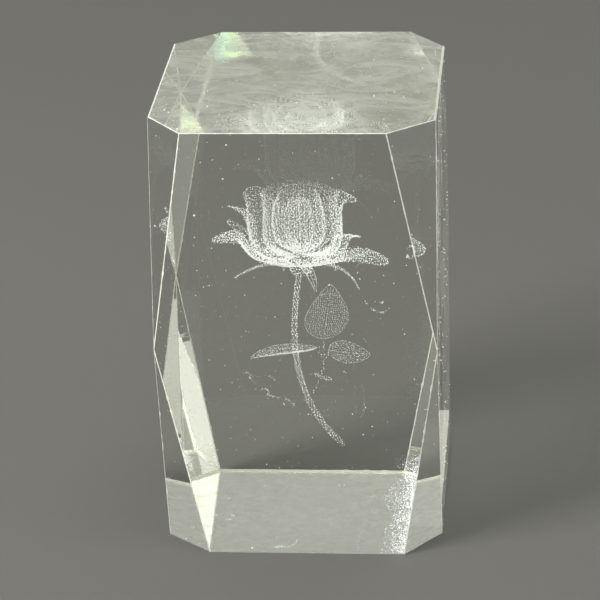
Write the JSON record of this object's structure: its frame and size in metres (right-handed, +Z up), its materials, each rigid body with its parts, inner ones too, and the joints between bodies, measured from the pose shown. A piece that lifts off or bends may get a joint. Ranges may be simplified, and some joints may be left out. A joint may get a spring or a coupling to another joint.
{
  "type": "engraved glass paperweight",
  "caption": "Upright clear glass block paperweight with eight long corner facets and a rose engraved as white dots inside it.",
  "frame": {"origin": "centre of the block's base", "axes": "+Z up through the block, -Y the front face that the rose is seen through, +X to the right of the front"},
  "size_m": [0.049, 0.0506, 0.08],
  "materials": {
    "optical_glass": "polished",
    "engraved_dots": "cracked white"
  },
  "bodies": {
    "root": {"crystal_block": "optical_glass", "bract_left": "engraved_dots", "bract_right": "engraved_dots", "cup_petal_1": "engraved_dots", "cup_petal_2": "engraved_dots", "cup_petal_3": "engraved_dots", "flower_stem": "engraved_dots", "heart_petal_1": "engraved_dots", "heart_petal_2": "engraved_dots", "heart_petal_3": "engraved_dots", "hip": "engraved_dots", "inner_petal_1": "engraved_dots", "inner_petal_2": "engraved_dots", "inner_petal_3": "engraved_dots", "leaf_stalk": "engraved_dots", "leaf_stalk_left": "engraved_dots", "leaf_stalk_right": "engraved_dots", "leaflet_left": "engraved_dots", "leaflet_right": "engraved_dots", "leaflet_top": "engraved_dots", "outer_petal_back": "engraved_dots", "outer_petal_front": "engraved_dots", "outer_petal_left_high": "engraved_dots", "outer_petal_left_low": "engraved_dots", "outer_petal_left_middle": "engraved_dots", "outer_petal_left_small": "engraved_dots", "outer_petal_right_high": "engraved_dots", "outer_petal_right_low": "engraved_dots", "outer_petal_right_middle": "engraved_dots", "sepal_1": "engraved_dots", "sepal_2": "engraved_dots", "sepal_3": "engraved_dots", "sepal_4": "engraved_dots", "sepal_5": "engraved_dots"}
  },
  "joints": []
}
